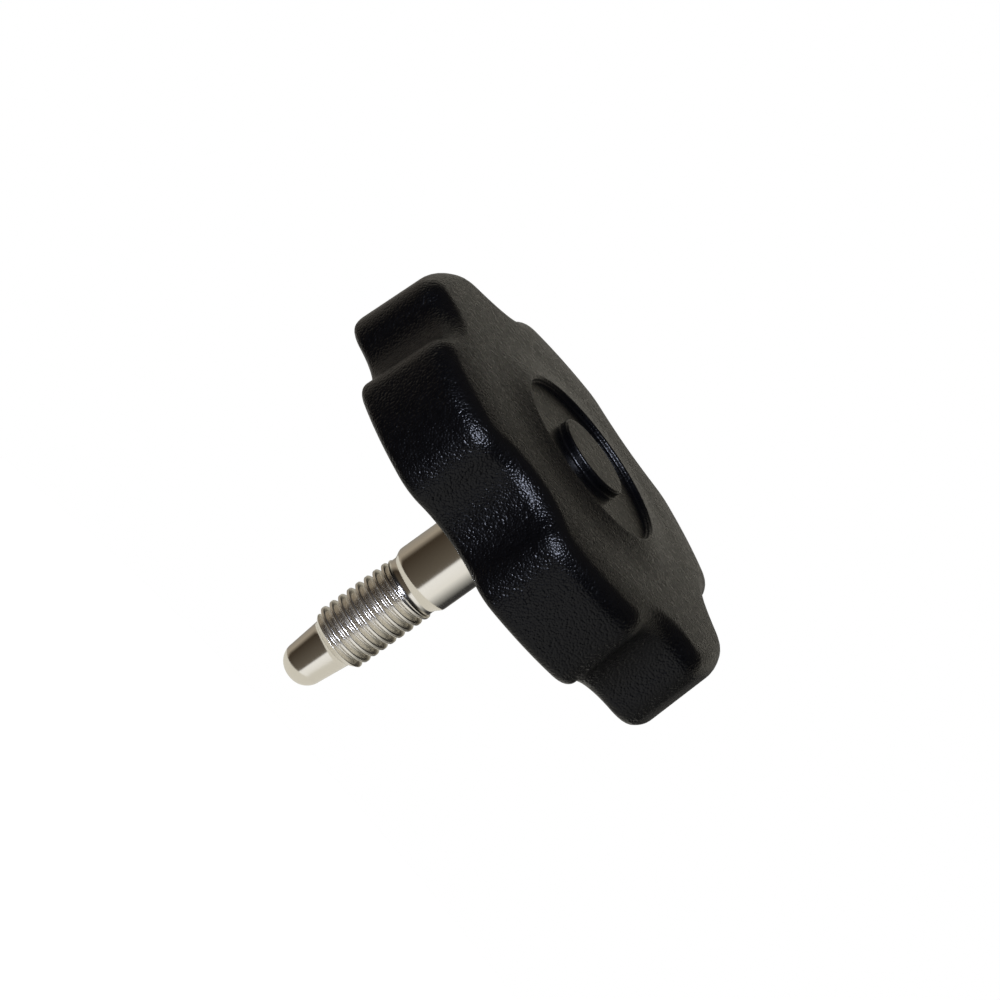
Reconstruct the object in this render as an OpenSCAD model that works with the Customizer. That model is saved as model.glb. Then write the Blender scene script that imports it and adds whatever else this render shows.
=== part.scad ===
// Lobed hand knob with a threaded stud.
// A moulded plastic head with rounded lobes, a shallow round recess and a central button on top,
// hollow underneath round a hub, and a turned steel stud moulded into the hub.
// The stud's axis is Z. The origin is the middle of the hub's seating face, where the stud leaves the head.

/* [Head outline] */
// Diameter of the head across opposite lobes, at the foot of the wall
head_d = 56; // [51:0.5:61]
// Number of lobes round the head
lobes = 6; // [6:1:7]
// Depth of the valleys between the lobes
valley_depth = 3.75; // [3.2:0.05:4.8]
// Width of a lobe across its two rounded corners
lobe_w = 18.3; // [16:0.1:19.2]
// Radius of a lobe's corners, seen from above
corner_r = 4.65; // [4:0.05:5.1]
// Draft of the outer wall, in degrees
wall_draft = 2.6; // [1:0.1:3.5]
// Radius of the edge round the foot of the wall
foot_edge_r = 1; // [0.5:0.1:1.3]
// Radius of the edge round the top of the wall
top_edge_r = 2.3; // [1.6:0.1:2.7]

/* [Head top] */
// Height of the raised ring round the recess above the seating face
ring_h = 12.9; // [11.2:0.1:16]
// Width of the flat land on the raised ring
ring_land = 0.3; // [0.2:0.1:0.8]
// Fall of the flank outside the raised ring
flank_drop = 0.65; // [0.3:0.05:1.1]
// Width of that flank
flank_w = 6.4; // [4:0.1:8.8]
// Fall of the top from the ring to the ends of the lobes
lobe_drop = 1.1; // [0.5:0.05:1.6]
// Diameter of the round recess in the top
recess_d = 21.9; // [17.6:0.1:24]
// Depth of the recess below the raised ring
recess_depth = 0.7; // [0.4:0.1:1.2]
// Diameter of the central button
button_d = 10.2; // [7.2:0.1:12.8]
// Height of the button above the floor of the recess
button_h = 1.1; // [0.8:0.1:2]
// Bevel round the edge of the button
button_bevel = 0.25; // [0.1:0.05:0.4]

/* [Head underside] */
// Thickness of the outer wall at its foot
wall = 2.7; // [2.2:0.1:3.2]
// Thickness of the head between the floor of the recess and the hollow
plate_t = 3.2; // [2.4:0.1:4]
// Diameter of the hub round the stud
hub_d = 19; // [17.6:0.1:22.4]

/* [Stud shank and thread] */
// Diameter of the plain shank
shank_d = 8.5; // [8.2:0.1:9.6]
// Length of the shank below the seating face, with its shoulder
shank_l = 12.6; // [8:0.1:20]
// Length of the sloped shoulder at the end of the shank
shoulder_l = 1.3; // [0.5:0.1:2]
// Diameter of the relief neck between the shank and the thread
neck_d = 7.5; // [6.7:0.1:7.7]
// Length of that neck
neck_l = 0.6; // [0.4:0.1:3]
// Outer diameter of the thread
thread_d = 8; // [7.8:0.1:8]
// Length of the thread, with the bevels at its ends
thread_l = 11.2; // [7:0.1:24]
// Length of the bevel at the lower end of the thread
thread_bevel_l = 0.9; // [0.7:0.1:2]

/* [Stud pilot] */
// Diameter of the pilot where it leaves the thread
pilot_d = 6.2; // [5.6:0.1:6.4]
// Diameter of the pilot at the start of its rounded end
pilot_end_d = 5.4; // [5:0.1:5.5]
// Length of the pilot with its rounded end
pilot_l = 6.5; // [4:0.1:10]
// Radius of the rounded end of the pilot
pilot_round_r = 2.4; // [0.8:0.1:2.6]

/* [Stud anchor] */
// Diameter of the collar that ends flush with the seating face
collar_d = 10; // [9.8:0.1:10.6]
// Height of the collar
collar_l = 2; // [1.6:0.1:3.2]
// Width across flats of the hexagonal anchor above the collar
anchor_af = 12; // [11.2:0.1:12.8]
// Height of the anchor
anchor_h = 4.8; // [3.2:0.1:5.2]

/* [Hidden] */
$fn = 96;

// Steps along one lobe arc, one corner arc and one valley arc of the outline
lobe_steps = 4;
corner_steps = 6;
valley_steps = 8;
// Steps round the two edges of the wall, and from the top edge to the raised ring
foot_steps = 3;
edge_steps = 6;
top_steps = 7;
// Direction of the first valley
first_valley = -90;
// How far a cutter runs past the face it opens
past = 1;

head_r = head_d / 2;
half_pitch = 180 / lobes;
// A corner round touches the lobe arc from inside, so its middle lies this far from the axis
corner_at = head_r - corner_r;
// Angle from a valley's middle line to the middle of the corner beside it
corner_a = half_pitch - asin((lobe_w / 2 - corner_r) / corner_at);
corner_c = corner_at * [cos(corner_a), sin(corner_a)];
// The valley arc touches both corner rounds and passes the floor of the valley
floor_r = head_r - valley_depth;
valley_at = (pow(corner_at, 2) - pow(floor_r - corner_r, 2)) / (2 * (corner_c.x - floor_r + corner_r));
valley_r = valley_at - floor_r;
// Direction from a corner's middle to the valley's middle
touch_a = atan2(-corner_c.y, valley_at - corner_c.x);

recess_r = recess_d / 2;
plateau_r = recess_r + ring_land;
recess_z = ring_h - recess_depth;
button_z = recess_z + button_h;
hollow_h = recess_z - plate_t;
wall_lean = (ring_h - flank_drop - lobe_drop - top_edge_r - foot_edge_r) * tan(wall_draft);
edge_inset = wall_lean + top_edge_r;

shank_z = -shank_l;
neck_z = shank_z - neck_l;
thread_z = neck_z - thread_l;
pilot_z = thread_z - pilot_l;
thread_top_bevel = (thread_d - neck_d) / 2;

// Points on an arc from a0 up to but without a1
function arc(c, r, a0, a1, n) = [for (i = [0 : n - 1])
    let(a = a0 + (a1 - a0) * i / n) c + r * [cos(a), sin(a)]];

// One valley with its two corners and the lobe arc after it, moved inwards by the inset
function lobe_pitch(inset) = concat(
    arc([corner_c.x, -corner_c.y], corner_r - inset, -corner_a, -touch_a, corner_steps),
    arc([valley_at, 0], valley_r + inset, 180 - touch_a, 180 + touch_a, valley_steps),
    arc(corner_c, corner_r - inset, touch_a, corner_a, corner_steps),
    arc([0, 0], head_r - inset, corner_a, 2 * half_pitch - corner_a, lobe_steps));

// Direction of a valley, and a point turned about the axis
function valley_dir(k) = first_valley + 2 * half_pitch * k;
function turned(p, a) = [p.x * cos(a) - p.y * sin(a), p.x * sin(a) + p.y * cos(a)];

// The closed outline of the head, moved inwards by the inset
function outline(inset) =
    let(pitch = lobe_pitch(inset))
    [for (k = [0 : lobes - 1]) for (p = pitch) turned(p, valley_dir(k))];

// Height of the top at a distance r from the axis: the ring's flank, then a fall over the lobes
function top_z(r) =
    let(flank = min(1, max(0, (r - plateau_r) / flank_w)))
    let(out = max(0, (r - plateau_r) / (head_r - plateau_r)))
    ring_h - flank_drop * (1 - pow(1 - flank, 2)) - lobe_drop * pow(out, 3);

// Rings of points from a circle on the underside, out to the foot of the wall, up the wall,
// over its top edge and in to the raised ring
function under_ring() = [for (p = outline(foot_edge_r)) let(q = p * plateau_r / norm(p)) [q.x, q.y, 0]];
function foot_ring(a) = [for (p = outline(foot_edge_r * (1 - sin(a))))
    [p.x, p.y, foot_edge_r * (1 - cos(a))]];
function edge_ring(a) = [for (p = outline(wall_lean + top_edge_r * (1 - cos(a))))
    [p.x, p.y, top_z(norm(p)) - top_edge_r * (1 - sin(a))]];
function top_ring(f) = [for (p = outline(edge_inset))
    let(q = p * (1 + f * (plateau_r / norm(p) - 1))) [q.x, q.y, top_z(norm(q))]];

skin_rings = concat(
    [under_ring()],
    [for (i = [0 : foot_steps]) foot_ring(90 * i / foot_steps)],
    [for (i = [0 : edge_steps]) edge_ring(90 * i / edge_steps)],
    [for (i = [1 : top_steps]) top_ring(i / top_steps)]);

// A closed solid between the first and the last of a stack of rings
module loft(rings) {
    n = len(rings[0]);
    m = len(rings);
    sides = [for (j = [0 : m - 2]) for (i = [0 : n - 1])
        let(a = j * n + i, b = j * n + (i + 1) % n)
        each [[a, a + n, b], [b, a + n, b + n]]];
    polyhedron([for (r = rings) each r], concat([[for (i = [0 : n - 1]) i]], sides,
        [[for (i = [n - 1 : -1 : 0]) (m - 1) * n + i]]));
}

// The hollow under the head: the outline one wall further in, less the hub
module hollow_section() {
    difference() {
        polygon(outline(wall));
        circle(d = hub_d);
    }
}

module button() {
    translate([0, 0, recess_z - past]) cylinder(d = button_d, h = past + button_h - button_bevel);
    translate([0, 0, button_z - button_bevel])
        cylinder(d1 = button_d, d2 = button_d - 2 * button_bevel, h = button_bevel);
}

module recess() {
    translate([0, 0, recess_z]) difference() {
        cylinder(d = recess_d, h = button_h + past);
        translate([0, 0, -past]) cylinder(d = button_d, h = button_h + 3 * past);
    }
}

// Half section of the turned stud, from the rounded end of the pilot up into the anchor
module stud_section() {
    round_at = pilot_end_d / 2 - pilot_round_r;
    round_z = pilot_z + pilot_round_r;
    translate([0, pilot_z]) square([round_at, pilot_round_r]);
    intersection() {
        translate([round_at, round_z]) circle(pilot_round_r);
        translate([0, pilot_z]) square(2 * pilot_round_r + pilot_end_d);
    }
    polygon([
        [0, round_z],
        [pilot_end_d / 2, round_z],
        [pilot_d / 2, thread_z],
        [thread_d / 2, thread_z + thread_bevel_l],
        [thread_d / 2, neck_z - thread_top_bevel],
        [neck_d / 2, neck_z],
        [neck_d / 2, shank_z],
        [shank_d / 2, shank_z + shoulder_l],
        [shank_d / 2, 0],
        [collar_d / 2, 0],
        [collar_d / 2, collar_l + anchor_h / 2],
        [0, collar_l + anchor_h / 2]]);
}

// The moulded-in part of the stud, which is also the shape of its seat in the hub
module anchor(below = 0) {
    translate([0, 0, -below]) cylinder(d = collar_d, h = below + collar_l + anchor_h / 2);
    translate([0, 0, collar_l]) cylinder(d = anchor_af / cos(30), h = anchor_h, $fn = 6);
}

module head() {
    color([0.07, 0.07, 0.08]) difference() {
        union() {
            loft(skin_rings);
            button();
        }
        recess();
        translate([0, 0, -past]) linear_extrude(hollow_h + past) hollow_section();
        anchor(past);
    }
}

module stud() {
    color([0.78, 0.76, 0.72]) union() {
        rotate_extrude() stud_section();
        anchor();
    }
}

head();
stud();
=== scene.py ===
# %% [markdown]
# # A lobed hand knob on a plated stud
# The object is a clamping knob: a black plastic head that a hand turns, and a bright steel stud that is
# moulded into it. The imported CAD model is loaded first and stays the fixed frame. Every new surface below
# is worked out from the same sizes, so it lands exactly where the solids are.

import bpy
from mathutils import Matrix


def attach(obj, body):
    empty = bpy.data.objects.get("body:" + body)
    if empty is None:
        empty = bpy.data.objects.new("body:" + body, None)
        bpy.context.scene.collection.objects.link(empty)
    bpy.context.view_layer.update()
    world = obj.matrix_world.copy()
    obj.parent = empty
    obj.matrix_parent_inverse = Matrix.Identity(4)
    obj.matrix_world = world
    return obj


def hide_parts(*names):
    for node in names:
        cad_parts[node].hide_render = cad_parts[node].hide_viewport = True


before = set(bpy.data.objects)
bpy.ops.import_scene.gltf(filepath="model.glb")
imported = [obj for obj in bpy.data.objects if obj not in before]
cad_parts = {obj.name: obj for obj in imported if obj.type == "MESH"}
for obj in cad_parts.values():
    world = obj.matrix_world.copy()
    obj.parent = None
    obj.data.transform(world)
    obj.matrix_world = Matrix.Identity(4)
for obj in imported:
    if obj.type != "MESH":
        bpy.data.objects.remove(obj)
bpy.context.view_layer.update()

import math
import bpy
import numpy as np
from mathutils import Matrix

bpy.context.scene.view_settings.view_transform = "Standard"

# %% [markdown]
# ## From rings of points to a closed mesh
# Both pieces are made in the way a potter works: rings of points are stacked from one pole to the other,
# and neighbouring rings are joined by quads. The first and the last ring are closed by a fan round one
# point. Blender's own primitives could be edited into this shape, but a stack of rings keeps every curve
# a formula.

# %% One function that makes a mesh from a stack of rings
MM, CM = 0.001, 0.01


def ring_mesh(name, rings, first_pole, last_pole):
    """A closed surface from rings[k, i] = (x, y, z) in millimetres: quads join ring k to ring k + 1, and a
    fan of triangles joins each pole to the ring next to it. The faces point outwards when the rings run
    down the outside of the shape and every ring turns anticlockwise, seen from above."""
    count, around = rings.shape[:2]
    points = np.vstack([rings.reshape(-1, 3), [first_pole], [last_pole]]) * MM
    here = np.arange(around)
    after = np.roll(here, -1)
    row = np.arange(count - 1)[:, None] * around
    quads = np.stack([row + here, row + around + here, row + around + after, row + after], -1)
    quads = quads.reshape(-1, 4)
    pole, last = count * around, (count - 1) * around
    first_fan = np.stack([np.full(around, pole), here, after], -1)
    last_fan = np.stack([np.full(around, pole + 1), last + after, last + here], -1)
    mesh = bpy.data.meshes.new(name)
    mesh.from_pydata(points, [], quads.tolist() + first_fan.tolist() + last_fan.tolist())
    mesh.polygons.foreach_set("use_smooth", np.ones(len(mesh.polygons), bool))
    mesh.update()
    piece = bpy.data.objects.new(name, mesh)
    bpy.context.scene.collection.objects.link(piece)
    corners = points[np.vstack([quads[:, [0, 1, 2]], quads[:, [0, 2, 3]], first_fan, last_fan])]
    volume = np.einsum("ij,ij->i", corners[:, 0], np.cross(corners[:, 1], corners[:, 2])).sum() / 6
    print(f"{name}: {len(corners)} triangles, volume {volume / CM**3:.2f} cm3")
    return piece


# %% [markdown]
# ## The outline of the head
# Seen from above, the head is a chain of arcs that touch: a wide arc over each lobe, a tight round at each
# of the lobe's corners, and a hollow arc in each valley. An arc that is moved inwards keeps its middle and
# only changes its radius, so the whole wall, with its draft and its rounded edges, is one family of such
# chains.

# %% The chain of arcs
LOBES, FIRST_VALLEY = 6, -90.0
HEAD_R, VALLEY_DEPTH, LOBE_W, CORNER_R = 28.0, 3.75, 18.3, 4.65
CORNER_STEPS, VALLEY_STEPS, LOBE_STEPS = 16, 22, 12

half_pitch = math.pi / LOBES
corner_at = HEAD_R - CORNER_R
corner_a = half_pitch - math.asin((LOBE_W / 2 - CORNER_R) / corner_at)
corner_x, corner_y = corner_at * math.cos(corner_a), corner_at * math.sin(corner_a)
floor_r = HEAD_R - VALLEY_DEPTH
valley_at = (corner_at**2 - (floor_r - CORNER_R) ** 2) / (2 * (corner_x - floor_r + CORNER_R))
valley_r = valley_at - floor_r
touch_a = math.atan2(-corner_y, valley_at - corner_x)


def arc(middle, radius, side, start, end, steps):
    """Rows of (middle x, middle y, radius, side, angle), where side is -1 if moving inwards shrinks the
    arc and 1 if it widens it."""
    angle = np.linspace(start, end, steps, endpoint=False)
    return np.column_stack([np.tile([*middle, radius, side], (steps, 1)), angle])


pitch_arcs = np.vstack([
    arc((corner_x, -corner_y), CORNER_R, -1, -corner_a, -touch_a, CORNER_STEPS),
    arc((valley_at, 0), valley_r, 1, math.pi - touch_a, math.pi + touch_a, VALLEY_STEPS),
    arc((corner_x, corner_y), CORNER_R, -1, touch_a, corner_a, CORNER_STEPS),
    arc((0, 0), HEAD_R, -1, corner_a, 2 * half_pitch - corner_a, LOBE_STEPS)])
turn = np.radians(FIRST_VALLEY) + 2 * half_pitch * np.arange(LOBES)


def outline(inset):
    """For each inset, the closed chain of arcs moved inwards by it: middle + (radius + side * inset) *
    direction, copied round the axis once for each lobe. The result is [inset, point, xy]."""
    mx, my, radius, side, angle = pitch_arcs.T
    reach = radius + side * np.atleast_1d(inset)[:, None]
    x, y = (mx + reach * np.cos(angle))[:, None], (my + reach * np.sin(angle))[:, None]
    c, s = np.cos(turn)[:, None], np.sin(turn)[:, None]
    return np.stack([x * c - y * s, x * s + y * c], -1).reshape(len(reach), -1, 2)


print("points round the head:", outline(0).shape[1], "valley arc radius", round(valley_r, 2))

# %% [markdown]
# ## The skin of the head
# The outside is a drafted wall between two rounded edges, and a crowned top that falls from a raised ring
# to the ends of the lobes. The upper edge has the same radius everywhere, but it follows the crown, so it
# rises in the valleys and sinks on the lobes. That wave is the head's most telling line, so it is real
# geometry.

# %% Heights of the top, and three kinds of ring
FOOT_EDGE_R, TOP_EDGE_R, DRAFT = 1.0, 2.3, math.tan(math.radians(2.6))
RING_H, RING_LAND, FLANK_DROP, FLANK_W, LOBE_DROP = 12.9, 0.3, 0.65, 6.4, 1.1
RECESS_R, RECESS_DEPTH = 10.95, 0.7
plateau_r = RECESS_R + RING_LAND
wall_lean = (RING_H - FLANK_DROP - LOBE_DROP - TOP_EDGE_R - FOOT_EDGE_R) * DRAFT


def top_z(r):
    """Height of the top at distance r: the ring's height, less a parabola down the flank, less a cubic
    fall from the ring to the ends of the lobes."""
    flank = np.clip((r - plateau_r) / FLANK_W, 0, 1)
    out = np.maximum(0, (r - plateau_r) / (HEAD_R - plateau_r))
    return RING_H - FLANK_DROP * (1 - (1 - flank) ** 2) - LOBE_DROP * out**3


def at_height(xy, z):
    """Rings of (x, y, z) from rings of (x, y), each flat at its own height z."""
    return np.concatenate([xy, np.broadcast_to(np.reshape(z, (-1, 1, 1)), xy.shape[:2] + (1,))], -1)


def level(inset, z):
    """Chains at the given insets, each flat at its own height z."""
    return at_height(outline(inset), z)


def under_top(inset, drop):
    """Chains at the given insets that follow the crown, each lower than it by its own drop."""
    xy = outline(inset)
    z = top_z(np.linalg.norm(xy, axis=-1)) - np.reshape(drop, (-1, 1))
    return np.concatenate([xy, z[..., None]], -1)


inner = outline(wall_lean + TOP_EDGE_R)[0]
inner_r = np.linalg.norm(inner, axis=-1)
ray = inner / inner_r[:, None]
print("the wall leans in by", round(wall_lean, 2), "mm")

# %% Rings of the skin, from the raised ring out and down to the foot
EDGE_STEPS, CROWN_STEPS, WALL_STEPS = 8, 22, 11
quarter = np.radians(np.linspace(0, 90, EDGE_STEPS + 1))
fade, grow = 1 - np.sin(quarter), 1 - np.cos(quarter)  # a quarter round: one runs 1 to 0, one 0 to 1
toward_edge = np.linspace(0, 1, CROWN_STEPS + 1)[:-1, None]
crown_r = plateau_r + toward_edge * (inner_r - plateau_r)
crown = np.concatenate([crown_r[..., None] * ray, top_z(crown_r)[..., None]], -1)
top_edge = under_top(wall_lean + TOP_EDGE_R * fade, TOP_EDGE_R * grow)
foot_edge = level(FOOT_EDGE_R * grow, FOOT_EDGE_R * fade)
down = np.linspace(0, 1, WALL_STEPS + 1)[1:-1, None, None]
wall = top_edge[-1] * (1 - down) + foot_edge[0] * down
skin = np.concatenate([crown, top_edge, wall, foot_edge])
edge_z = top_edge[0, :, 2]
print("skin rings", len(skin), "edge height from", round(edge_z.min(), 2), "to", round(edge_z.max(), 2))

# %% [markdown]
# ## The recess and the button
# A shallow round recess lies in the raised ring, with a low button in its middle. A mould leaves no knife
# edges, so each corner of this turned profile is a small quarter round, and the rim of the recess has a
# slightly larger one. A ring close to each round keeps the flats flat when the shading is smoothed.

# %% Rings from the middle of the button out to the raised ring
BUTTON_R, BUTTON_H, SMALL_R, RIM_R = 5.1, 1.1, 0.25, 0.3
BUTTON_RING_1, BUTTON_RING_2, FLOOR_RING = 1.2, 3.2, 8.0
ROUND_STEPS, FLAT_GAP = 5, 0.12
recess_z = RING_H - RECESS_DEPTH
button_z = recess_z + BUTTON_H
beside = SMALL_R + FLAT_GAP
fine = np.radians(np.linspace(0, 90, ROUND_STEPS + 1))
fade, grow = 1 - np.sin(fine), 1 - np.cos(fine)


def turned_profile(*rz):
    """Round rings through lists of (r, z) rows that are stacked in order. Their points lie on the same
    rays as the chain's points."""
    r, z = np.vstack(rz).T
    return at_height(r[:, None, None] * ray, z)


button_and_recess = turned_profile(
    [[BUTTON_RING_1, button_z], [BUTTON_RING_2, button_z], [BUTTON_R - beside, button_z]],
    np.column_stack([BUTTON_R - SMALL_R * fade, button_z - SMALL_R * grow]),
    [[BUTTON_R, button_z - beside], [BUTTON_R, recess_z + beside]],
    np.column_stack([BUTTON_R + SMALL_R * grow, recess_z + SMALL_R * fade]),
    [[BUTTON_R + beside, recess_z], [FLOOR_RING, recess_z], [RECESS_R - beside, recess_z]],
    np.column_stack([RECESS_R - SMALL_R * fade, recess_z + SMALL_R * grow]),
    np.column_stack([RECESS_R + RIM_R * grow, RING_H - RIM_R * fade]))
print("button and recess rings", len(button_and_recess))

# %% [markdown]
# ## The underside
# Such a head is cored out to save plastic: one wall follows the outline, and a hub stays round the stud.
# The inner wall is the same chain of arcs, one wall thickness further in. The last rings run up the seat
# that the plastic forms round the stud's collar and its six-sided anchor, so the surface is closed.

# %% The roof of the hollow and the six-sided seat
WALL, PLATE_T, HUB_R, FILLET = 2.7, 3.2, 9.5, 0.5
COLLAR_R, COLLAR_L, ANCHOR_AF, ANCHOR_H = 5.0, 2.0, 12.0, 4.8
ROOF_STEPS = 9
hollow_h = recess_z - PLATE_T
anchor_z = COLLAR_L + ANCHOR_H

roof_out = outline(WALL + FILLET)[0]
roof_r = np.linalg.norm(roof_out, axis=-1, keepdims=True)
across = np.linspace(0, 1, ROOF_STEPS + 1)[1:-1, None, None]
roof = at_height(roof_out / roof_r * (roof_r * (1 - across) + (HUB_R + FILLET) * across), hollow_h)


def hex_radius(angle):
    """Radius of a hexagon that has a corner at angle 0: with a the angle from the nearest corner, it is
    half the width across the flats over cos(30 degrees - a)."""
    from_corner = np.abs((angle + np.pi / 6) % (np.pi / 3) - np.pi / 6)
    return ANCHOR_AF / 2 / np.cos(from_corner - np.pi / 6)


seat_xy = hex_radius(np.arctan2(ray[:, 1], ray[:, 0]))[:, None] * ray
seat = at_height(np.repeat([seat_xy], 2, 0), [COLLAR_L, anchor_z])
print("hollow", round(hollow_h, 2), "mm high, seat", round(anchor_z, 2), "mm deep")

# %% Rings from the foot of the wall, round the hollow, to the seat, and the whole head
FOOT_GAP, FILLET_GAP, MID_WALL_Z = 0.15, 0.2, 4.0
fillet_z = hollow_h - FILLET - FILLET_GAP
underside = np.concatenate([
    level([FOOT_EDGE_R + FOOT_GAP, WALL - beside], [0, 0]),
    level(WALL - SMALL_R * fade, SMALL_R * grow),
    level([WALL, WALL, WALL], [beside, MID_WALL_Z, fillet_z]),
    level(WALL + FILLET * grow, hollow_h - FILLET * fade),
    roof,
    turned_profile(
        np.column_stack([HUB_R + FILLET * fade, hollow_h - FILLET * grow]),
        [[HUB_R, fillet_z], [HUB_R, beside]],
        np.column_stack([HUB_R - SMALL_R * grow, SMALL_R * fade]),
        [[HUB_R - beside, 0], [COLLAR_R + FILLET_GAP, 0], [COLLAR_R, 0], [COLLAR_R, COLLAR_L]]),
    seat])

head = ring_mesh("knob_head", np.concatenate([button_and_recess, skin, underside]),
                 (0, 0, button_z), (0, 0, anchor_z))
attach(head, "root")
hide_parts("head")

# %% [markdown]
# ## The plain parts of the stud
# The stud is turned from bar: a plain shank with a sloped shoulder, a relief neck, a thread and a tapered
# pilot with a rounded end. A lathe makes the plain parts by moving a tool along a profile, and so does
# this cell: each is a list of radii and heights that is turned round the axis.

# %% Profiles of the shank and the pilot
SHANK_R, SHANK_L, SHOULDER_L = 4.25, 12.6, 1.3
NECK_R, NECK_L = 3.75, 0.6
THREAD_R, THREAD_L, THREAD_BEVEL_L, PITCH = 4.0, 11.2, 0.9, 1.25
PILOT_R, PILOT_END_R, PILOT_L, PILOT_ROUND_R = 3.1, 2.7, 6.5, 2.4
shank_z = -SHANK_L
neck_z = shank_z - NECK_L
thread_z = neck_z - THREAD_L
pilot_z = thread_z - PILOT_L


def smooth_step(t):
    """A soft start and end for t from 0 to 1: t squared times (3 - 2 t)."""
    return t * t * (3 - 2 * t)


EDGE, SHOULDER_GAP, SLOPE_STEPS, PILOT_ROUND_STEPS = 0.02, 0.1, 8, 14
SHANK_RINGS = [-EDGE, -0.3, -4.0, -8.0, shank_z + SHOULDER_L + SHOULDER_GAP]
slope = np.linspace(0, 1, SLOPE_STEPS + 1)
shank_rz = np.vstack([
    [[COLLAR_R, COLLAR_L], [COLLAR_R, EDGE], [COLLAR_R - EDGE, 0], [SHANK_R + EDGE, 0]],
    [[SHANK_R, z] for z in SHANK_RINGS],
    np.column_stack([SHANK_R + (NECK_R - SHANK_R) * smooth_step(slope),
                     shank_z + SHOULDER_L * (1 - slope)])])
pilot_round = np.radians(np.linspace(0, 90, PILOT_ROUND_STEPS + 1))[1:]
round_z = pilot_z + PILOT_ROUND_R
pilot_rz = np.vstack([
    np.column_stack([PILOT_R + (PILOT_END_R - PILOT_R) * slope[1:],
                     thread_z + (round_z - thread_z) * slope[1:]]),
    np.column_stack([PILOT_END_R - PILOT_ROUND_R * (1 - np.cos(pilot_round)),
                     pilot_z + PILOT_ROUND_R * (1 - np.sin(pilot_round))])])
print("stud ends at", round(pilot_z, 2), "mm")

# %% [markdown]
# ## The thread
# The thread is one ridge that winds down the stud, with sloping flanks, a narrow crest and a rounded
# groove. A Screw modifier on a small profile could make it, but its ends would need trimming by hand. Here
# the radius is a function of height and angle, so the groove runs out below the neck and at the lower
# bevel by itself. It is real geometry, because the ridge shows along the edge of the stud.

# %% Radius of the thread
GROOVE, CREST_W, FLANK_L, FLANK_ROUND = 0.66, 0.28, 0.42, 0.4
RUN_IN, START_BEVEL_L, FIRST_TURN = 0.5, 0.25, 0.12


def thread_radius(z, angle):
    """Radius of a right-handed thread. With s the distance along the axis from the nearest crest, the
    groove goes from 0 at the edge of the crest to its full depth at the foot of the flank: in a straight
    line, mixed with a smooth step that rounds its foot. It grows from nothing over RUN_IN below the neck,
    and a bevel at each end cuts the crests."""
    turns = z[:, None] / PITCH - angle / (2 * np.pi) - FIRST_TURN
    s = np.abs((turns + 0.5) % 1 - 0.5) * PITCH
    flank = np.clip((s - CREST_W / 2) / FLANK_L, 0, 1)
    grown = smooth_step(np.clip((neck_z - z) / RUN_IN, 0, 1))
    groove = GROOVE * ((1 - FLANK_ROUND) * flank + FLANK_ROUND * smooth_step(flank)) * grown[:, None]
    lower = np.interp(z, [thread_z, thread_z + THREAD_BEVEL_L], [PILOT_R, THREAD_R])
    upper = np.interp(z, [neck_z - START_BEVEL_L, neck_z], [THREAD_R, NECK_R])
    return np.minimum(np.minimum(lower, upper)[:, None], THREAD_R - groove)


print("turns", round(THREAD_L / PITCH, 1), "groove", GROOVE, "mm deep")

# %% The whole stud, from the anchor down
AROUND, ROWS_PER_PITCH, SEAT_GAP = 192, 44, 0.02
spin = np.linspace(0, 2 * np.pi, AROUND, endpoint=False)
spoke = np.column_stack([np.cos(spin), np.sin(spin)])


def stud_rings(r, z):
    """Rings of the stud: r[k] or r[k, i] out along the spokes, at height z[k]."""
    r = np.broadcast_to(np.reshape(r, (len(z), -1)), (len(z), AROUND))
    return at_height(r[..., None] * spoke, z)


thread_rows = np.linspace(neck_z, thread_z, int(THREAD_L / PITCH * ROWS_PER_PITCH) + 1)
anchor_r = np.repeat([hex_radius(spin) - SEAT_GAP], 2, 0)
stud = ring_mesh("plated_stud", np.concatenate([
    stud_rings(anchor_r, [anchor_z - SEAT_GAP, COLLAR_L + SEAT_GAP]),
    stud_rings(shank_rz[:, 0], shank_rz[:, 1]),
    stud_rings(thread_radius(thread_rows, spin), thread_rows),
    stud_rings(pilot_rz[:, 0], pilot_rz[:, 1])]),
    (0, 0, anchor_z - SEAT_GAP), (0, 0, pilot_z))
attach(stud, "root")
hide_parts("stud")

# %% [markdown]
# ## Tools for the finishes
# Colours are written as sRGB hex values, as a paint chart gives them, and turned to the linear values that
# the shader works with. One small function adds a node, sets its values and links its inputs.

# %% Colours, nodes and empty materials


def colour(code):
    """sRGB hex to linear RGBA: the low end is divided by 12.92, the rest follows the 2.4 power curve."""
    c = np.array([int(code[i:i + 2], 16) for i in (1, 3, 5)]) / 255
    return (*np.where(c <= 0.04045, c / 12.92, ((c + 0.055) / 1.055) ** 2.4), 1.0)


def node(tree, kind, inputs=None, **settings):
    """Adds a node of that kind, sets its own settings, and gives each named input a link or a value."""
    made = tree.nodes.new(kind)
    for name, value in settings.items():
        setattr(made, name, value)
    for name, value in (inputs or {}).items():
        if isinstance(value, bpy.types.NodeSocket):
            tree.links.new(value, made.inputs[name])
        else:
            made.inputs[name].default_value = value
    return made


def finish(name):
    """A new material with an empty node tree."""
    made = bpy.data.materials.new(name)
    made.use_nodes = True
    made.node_tree.nodes.clear()
    return made, made.node_tree


print("middle grey is", round(colour("#808080")[0], 3), "in linear light")

# %% [markdown]
# ## Moulded black plastic
# The head is moulded in a steel tool whose walls were etched with a fine leather grain, so the nylon is
# dull black and covered with small round pebbles, each of which catches a spark of light. The pebbles are
# cells of a Voronoi pattern, a good quarter of a millimetre wide, raised by a bump. A slow noise bends
# their rows and makes some patches duller. Inside the recess the tool is smoother, so the grain is calmer.

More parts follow.
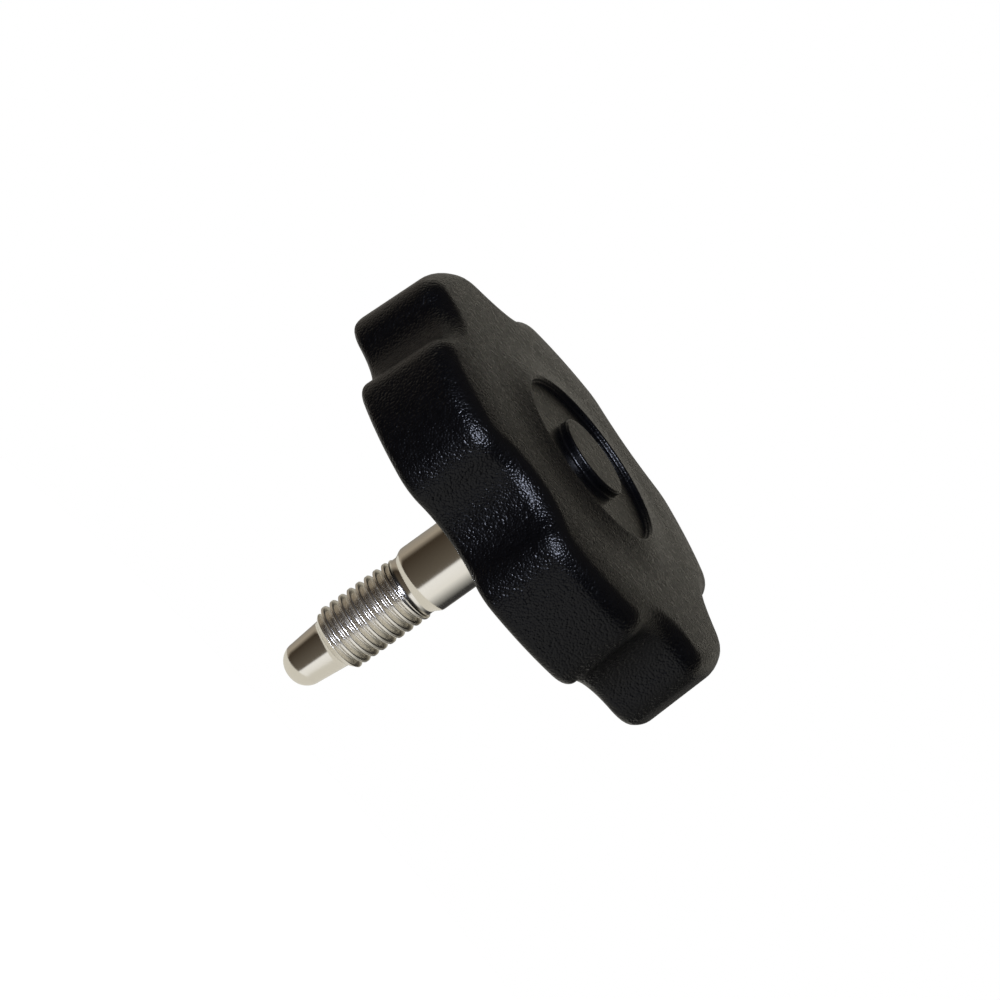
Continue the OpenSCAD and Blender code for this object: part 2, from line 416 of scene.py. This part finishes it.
# %% Black nylon with moulded grain
GRAIN_MM, GRAIN_H_MM, GRAIN_BEND, DRIFT = 0.28, 0.075, 0.5, 0.35
CALM, CALM_FROM, CALM_TO = 0.35, RECESS_R - 0.1, RECESS_R + 0.3
plastic, tree = finish("moulded_black_nylon")
place = node(tree, "ShaderNodeTexCoord").outputs["Object"]
drift = node(tree, "ShaderNodeTexNoise", {"Vector": place, "Scale": DRIFT / (GRAIN_MM * MM),
                                          "Detail": 2.0})
bent = node(tree, "ShaderNodeVectorMath", {0: drift.outputs["Color"],
                                           "Scale": GRAIN_BEND * GRAIN_MM * MM}, operation="SCALE")
moved = node(tree, "ShaderNodeVectorMath", {0: place, 1: bent.outputs["Vector"]}, operation="ADD")
pebble = node(tree, "ShaderNodeTexVoronoi", {"Vector": moved.outputs["Vector"],
                                             "Scale": 1 / (GRAIN_MM * MM), "Smoothness": 0.3},
              feature="SMOOTH_F1")
dome = node(tree, "ShaderNodeMath", {0: pebble.outputs["Distance"], 1: 2.0}, operation="POWER")
flat = node(tree, "ShaderNodeVectorMath", {0: place, 1: (1.0, 1.0, 0.0)}, operation="MULTIPLY")
out = node(tree, "ShaderNodeVectorMath", {0: flat.outputs["Vector"]}, operation="LENGTH")
strong = node(tree, "ShaderNodeMapRange", {"Value": out.outputs["Value"], "From Min": CALM_FROM * MM,
                                           "From Max": CALM_TO * MM, "To Min": CALM})
grain = node(tree, "ShaderNodeBump", {"Height": dome.outputs[0], "Strength": strong.outputs["Result"],
                                      "Distance": GRAIN_H_MM * MM}, invert=True)
dull = node(tree, "ShaderNodeMapRange", {"Value": drift.outputs["Fac"], "From Min": 0.3, "From Max": 0.7,
                                         "To Min": 0.24, "To Max": 0.34})
shader = node(tree, "ShaderNodeBsdfPrincipled", {
    "Base Color": colour("#030304"), "Roughness": dull.outputs["Result"], "IOR": 1.5,
    "Specular IOR Level": 0.2, "Normal": grain.outputs["Normal"]})
node(tree, "ShaderNodeOutputMaterial", {"Surface": shader.outputs["BSDF"]})
head.data.materials.append(plastic)
print("grain", GRAIN_MM, "mm wide,", GRAIN_H_MM, "mm high")

# %% [markdown]
# ## Nickel-plated steel
# The stud is turned and then plated bright. Nickel is a little warmer than chrome. The tool leaves fine
# rings round the axis that the plating only half covers, so the roughness changes along the stud's length.
# The cut thread takes the plating less well, so it is duller there, which spreads the glints on its crests.

# %% Nickel plate with faint turning rings
TURNING_MM, TURNING_H_MM, TURNING_SHOWS, THREAD_DULLER = 0.12, 0.004, 0.06, 0.1
nickel, tree = finish("nickel_plated_steel")
place = node(tree, "ShaderNodeTexCoord").outputs["Object"]
along = node(tree, "ShaderNodeSeparateXYZ", {"Vector": place}).outputs["Z"]
steps = node(tree, "ShaderNodeMath", {0: along, 1: 1 / (TURNING_MM * MM)}, operation="MULTIPLY")
rings = node(tree, "ShaderNodeTexNoise", {"W": steps.outputs[0], "Scale": 1.0, "Detail": 2.0},
             noise_dimensions="1D")
lathe = node(tree, "ShaderNodeBump", {"Height": rings.outputs["Fac"], "Strength": TURNING_SHOWS,
                                      "Distance": TURNING_H_MM * MM})
bright = node(tree, "ShaderNodeMapRange", {"Value": rings.outputs["Fac"], "From Min": 0.3,
                                           "From Max": 0.7, "To Min": 0.12, "To Max": 0.2})
below = node(tree, "ShaderNodeMath", {0: along, 1: neck_z * MM}, operation="LESS_THAN")
above = node(tree, "ShaderNodeMath", {0: along, 1: thread_z * MM}, operation="GREATER_THAN")
cut = node(tree, "ShaderNodeMath", {0: below.outputs[0], 1: above.outputs[0]}, operation="MULTIPLY")
worn = node(tree, "ShaderNodeMath", {0: cut.outputs[0], 1: THREAD_DULLER, 2: bright.outputs["Result"]},
            operation="MULTIPLY_ADD")
shader = node(tree, "ShaderNodeBsdfPrincipled", {
    "Base Color": colour("#e6e2d9"), "Metallic": 1.0, "Roughness": worn.outputs[0],
    "Normal": lathe.outputs["Normal"]})
node(tree, "ShaderNodeOutputMaterial", {"Surface": shader.outputs["BSDF"]})
stud.data.materials.append(nickel)
print("turning rings", TURNING_MM, "mm apart")

# %% [markdown]
# ## The floor
# The knob hangs over a plain white floor. The camera sees it as matt paper, which keeps the knob's shadow,
# with a glow that lifts it to white. The metal mirrors it as pale paper. From below it lets the view
# through, so that the underside can be looked at.

# %% White floor
FLOOR_MID, FLOOR_R, FLOOR_POINTS = (90.0, 110.0, -136.0), 230.0, 64
rim = np.linspace(0, 2 * np.pi, FLOOR_POINTS, endpoint=False)
disc = (FLOOR_R * np.column_stack([np.cos(rim), np.sin(rim), 0 * rim]) + FLOOR_MID) * MM
floor_mesh = bpy.data.meshes.new("floor")
floor_mesh.from_pydata(disc, [], [list(range(FLOOR_POINTS))])
floor = bpy.data.objects.new("floor", floor_mesh)
bpy.context.scene.collection.objects.link(floor)
print("floor", 2 * FLOOR_R, "mm wide, at", FLOOR_MID[2], "mm")

# %% White paper for the floor
PAPER_GLOW = 0.93


def seen_straight(tree):
    """1 for rays that the camera sends out, also through glass, and 0 for all others."""
    rays = node(tree, "ShaderNodeLightPath").outputs
    return node(tree, "ShaderNodeMath", {0: rays["Is Camera Ray"], 1: rays["Is Transmission Ray"]},
                operation="MAXIMUM").outputs[0]


paper, tree = finish("white_paper")
mirrored = node(tree, "ShaderNodeLightPath").outputs["Is Glossy Ray"]
matt = node(tree, "ShaderNodeBsdfDiffuse", {"Color": colour("#e8e8e6")})
glow = node(tree, "ShaderNodeEmission", {"Color": colour("#ffffff"), "Strength": PAPER_GLOW})
both = node(tree, "ShaderNodeAddShader", {0: matt.outputs[0], 1: glow.outputs[0]})
pale = node(tree, "ShaderNodeEmission", {"Color": colour("#dedbd2"), "Strength": 1.0})
plain = node(tree, "ShaderNodeMixShader", {0: mirrored, 1: matt.outputs[0], 2: pale.outputs[0]})
shown = node(tree, "ShaderNodeMixShader", {0: seen_straight(tree), 1: plain.outputs[0],
                                           2: both.outputs[0]})
under = node(tree, "ShaderNodeNewGeometry").outputs["Backfacing"]
clear = node(tree, "ShaderNodeBsdfTransparent")
sided = node(tree, "ShaderNodeMixShader", {0: under, 1: shown.outputs[0], 2: clear.outputs[0]})
node(tree, "ShaderNodeOutputMaterial", {"Surface": sided.outputs[0]})
floor.data.materials.append(paper)
print("paper nodes", len(tree.nodes))

# %% [markdown]
# ## The room
# A bright metal and a black plastic show little but what they reflect, so the room matters. Round the
# horizon, a white wall stands to the right of the camera, the camera's own side is dim and brown, and the
# back is grey. Overhead, the room is pale only low down at the back, where the flat top of the head mirrors
# it, and dark above and in front, which draws the dark line along the head's upper edge. The camera itself
# sees the surroundings as plain white.

# %% Colours round the horizon and overhead
WALLS = [(-180, "#8a8782"), (-106, "#a89e90"), (-82, "#3c3329"), (18, "#655e54"), (24, "#ffffff"),
         (66, "#f4f3f0"), (96, "#a3a3a0"), (122, "#383838"), (150, "#383838"), (180, "#8a8782")]
CEILING = [(0.0, "#f6f1e2"), (0.27, "#6a6457"), (0.42, "#24221f"), (0.85, "#605c56")]
FRONT = "#1e1c1a"


def fill_ramp(ramp, stops):
    """Gives a colour ramp the stops (place, shade): its own two become the first and the last of them."""
    elements = ramp.color_ramp.elements
    elements[0].color, elements[-1].color = colour(stops[0][1]), colour(stops[-1][1])
    elements[0].position, elements[-1].position = stops[0][0], stops[-1][0]
    for place, shade in stops[1:-1]:
        elements.new(place).color = colour(shade)


room = bpy.data.worlds.new("room")
bpy.context.scene.world = room
room.use_nodes = True
tree = room.node_tree
tree.nodes.clear()
direction = node(tree, "ShaderNodeTexCoord").outputs["Generated"]
toward = node(tree, "ShaderNodeSeparateXYZ", {"Vector": direction}).outputs
front = node(tree, "ShaderNodeMath", {0: toward["Y"], 1: -1.0}, operation="MULTIPLY")
azimuth = node(tree, "ShaderNodeMath", {0: toward["X"], 1: front.outputs[0]}, operation="ARCTAN2")
share = node(tree, "ShaderNodeMapRange", {"Value": azimuth.outputs[0], "From Min": -math.pi,
                                          "From Max": math.pi})
walls = node(tree, "ShaderNodeValToRGB", {"Fac": share.outputs["Result"]})
fill_ramp(walls, [((degrees + 180) / 360, shade) for degrees, shade in WALLS])
upper = node(tree, "ShaderNodeValToRGB", {"Fac": toward["Z"]})
fill_ramp(upper, CEILING)
print("stops round the horizon", len(WALLS), "and overhead", len(CEILING))

# %% The room that is reflected, and the white that the camera sees
BEHIND_FULL, HORIZON_LOW, HORIZON_HIGH = 0.6, -0.05, 0.12
lean = node(tree, "ShaderNodeMath", {0: toward["Y"], 1: toward["Z"]}, operation="ADD")
behind = node(tree, "ShaderNodeMapRange", {"Value": lean.outputs[0], "From Min": 0.0,
                                           "From Max": BEHIND_FULL})
over = node(tree, "ShaderNodeMix", {"Factor": behind.outputs["Result"], "A": colour(FRONT),
                                    "B": upper.outputs["Color"]}, data_type="RGBA")
high = node(tree, "ShaderNodeMapRange", {"Value": toward["Z"], "From Min": HORIZON_LOW,
                                         "From Max": HORIZON_HIGH})
around = node(tree, "ShaderNodeMix", {"Factor": high.outputs["Result"], "A": walls.outputs["Color"],
                                      "B": over.outputs["Result"]}, data_type="RGBA")
lit = node(tree, "ShaderNodeBackground", {"Color": around.outputs["Result"], "Strength": 1.0})
white = node(tree, "ShaderNodeBackground", {"Color": colour("#ffffff"), "Strength": 1.0})
shown = node(tree, "ShaderNodeMixShader", {0: seen_straight(tree), 1: lit.outputs[0],
                                           2: white.outputs[0]})
node(tree, "ShaderNodeOutputWorld", {"Surface": shown.outputs[0]})
print("room nodes", len(tree.nodes))

# %% [markdown]
# ## The lamp
# One soft lamp stands in front, a little to the left of the camera and higher. It puts a gleam on the top
# of the front valley and on the two corners beside it, sparks on the pebbles and glints on the crests of
# the thread. A lower lamp would glare on the flat top when the knob is seen from behind.

# %% Front lamp
LAMP_AZIMUTH, LAMP_ELEVATION, LAMP_AWAY = -9.0, 32.0, 0.6
LAMP_W, LAMP_H, LAMP_WATTS = 0.22, 0.12, 6.6


def facing(azimuth, elevation):
    """Right, up and back of something that stands in that direction, in degrees from the front and from
    the level, and looks at the knob: back points from the knob to it, and right is level."""
    a, e = math.radians(azimuth), math.radians(elevation)
    back = np.array([math.sin(a) * math.cos(e), -math.cos(a) * math.cos(e), math.sin(e)])
    right = np.array([math.cos(a), math.sin(a), 0])
    return right, np.cross(back, right), back


def put(thing, right, up, back, spot):
    """Links an object with its X, Y and Z along right, up and back, at a spot in metres."""
    pose = np.eye(4)
    pose[:3, :3] = np.column_stack([right, up, back])
    pose[:3, 3] = spot
    thing.matrix_world = Matrix(pose)
    bpy.context.scene.collection.objects.link(thing)


lamp = bpy.data.lights.new("front_lamp", "AREA")
lamp.shape, lamp.size, lamp.size_y = "RECTANGLE", LAMP_W, LAMP_H
lamp.energy, lamp.color = LAMP_WATTS, colour("#e0e8ff")[:3]
right, up, back = facing(LAMP_AZIMUTH, LAMP_ELEVATION)
put(bpy.data.objects.new("front_lamp", lamp), right, up, back, back * LAMP_AWAY)
print("lamp", LAMP_WATTS, "W at", np.round(back * LAMP_AWAY, 3).tolist(), "m")

# %% [markdown]
# ## The camera
# The camera stands almost on a level with the knob, far away with a long lens, and is rolled so that the
# stud points down to the left. The lens follows from how many pixels a millimetre of the knob takes up.

# %% Camera
AZIMUTH, ELEVATION, ROLL = 3.672, 14.161, math.radians(54.363)
AWAY_MM, PIXELS_PER_MM, PICTURE_PX, SENSOR_MM = 560.0, 8.834, 1000, 36.0
OFF_X, OFF_Y = 0.19, 2.525
level_right, level_up, back = facing(AZIMUTH, ELEVATION)
right = math.cos(ROLL) * level_right + math.sin(ROLL) * level_up
up = math.cos(ROLL) * level_up - math.sin(ROLL) * level_right
lens = bpy.data.cameras.new("camera")
lens.sensor_width = SENSOR_MM
lens.lens = SENSOR_MM * PIXELS_PER_MM * AWAY_MM / PICTURE_PX
lens.clip_start, lens.clip_end = 0.01, 20.0
camera = bpy.data.objects.new("camera", lens)
put(camera, right, up, back, (back * AWAY_MM - right * OFF_X + up * OFF_Y) * MM)
bpy.context.scene.camera = camera
print("lens", round(lens.lens, 1), "mm")
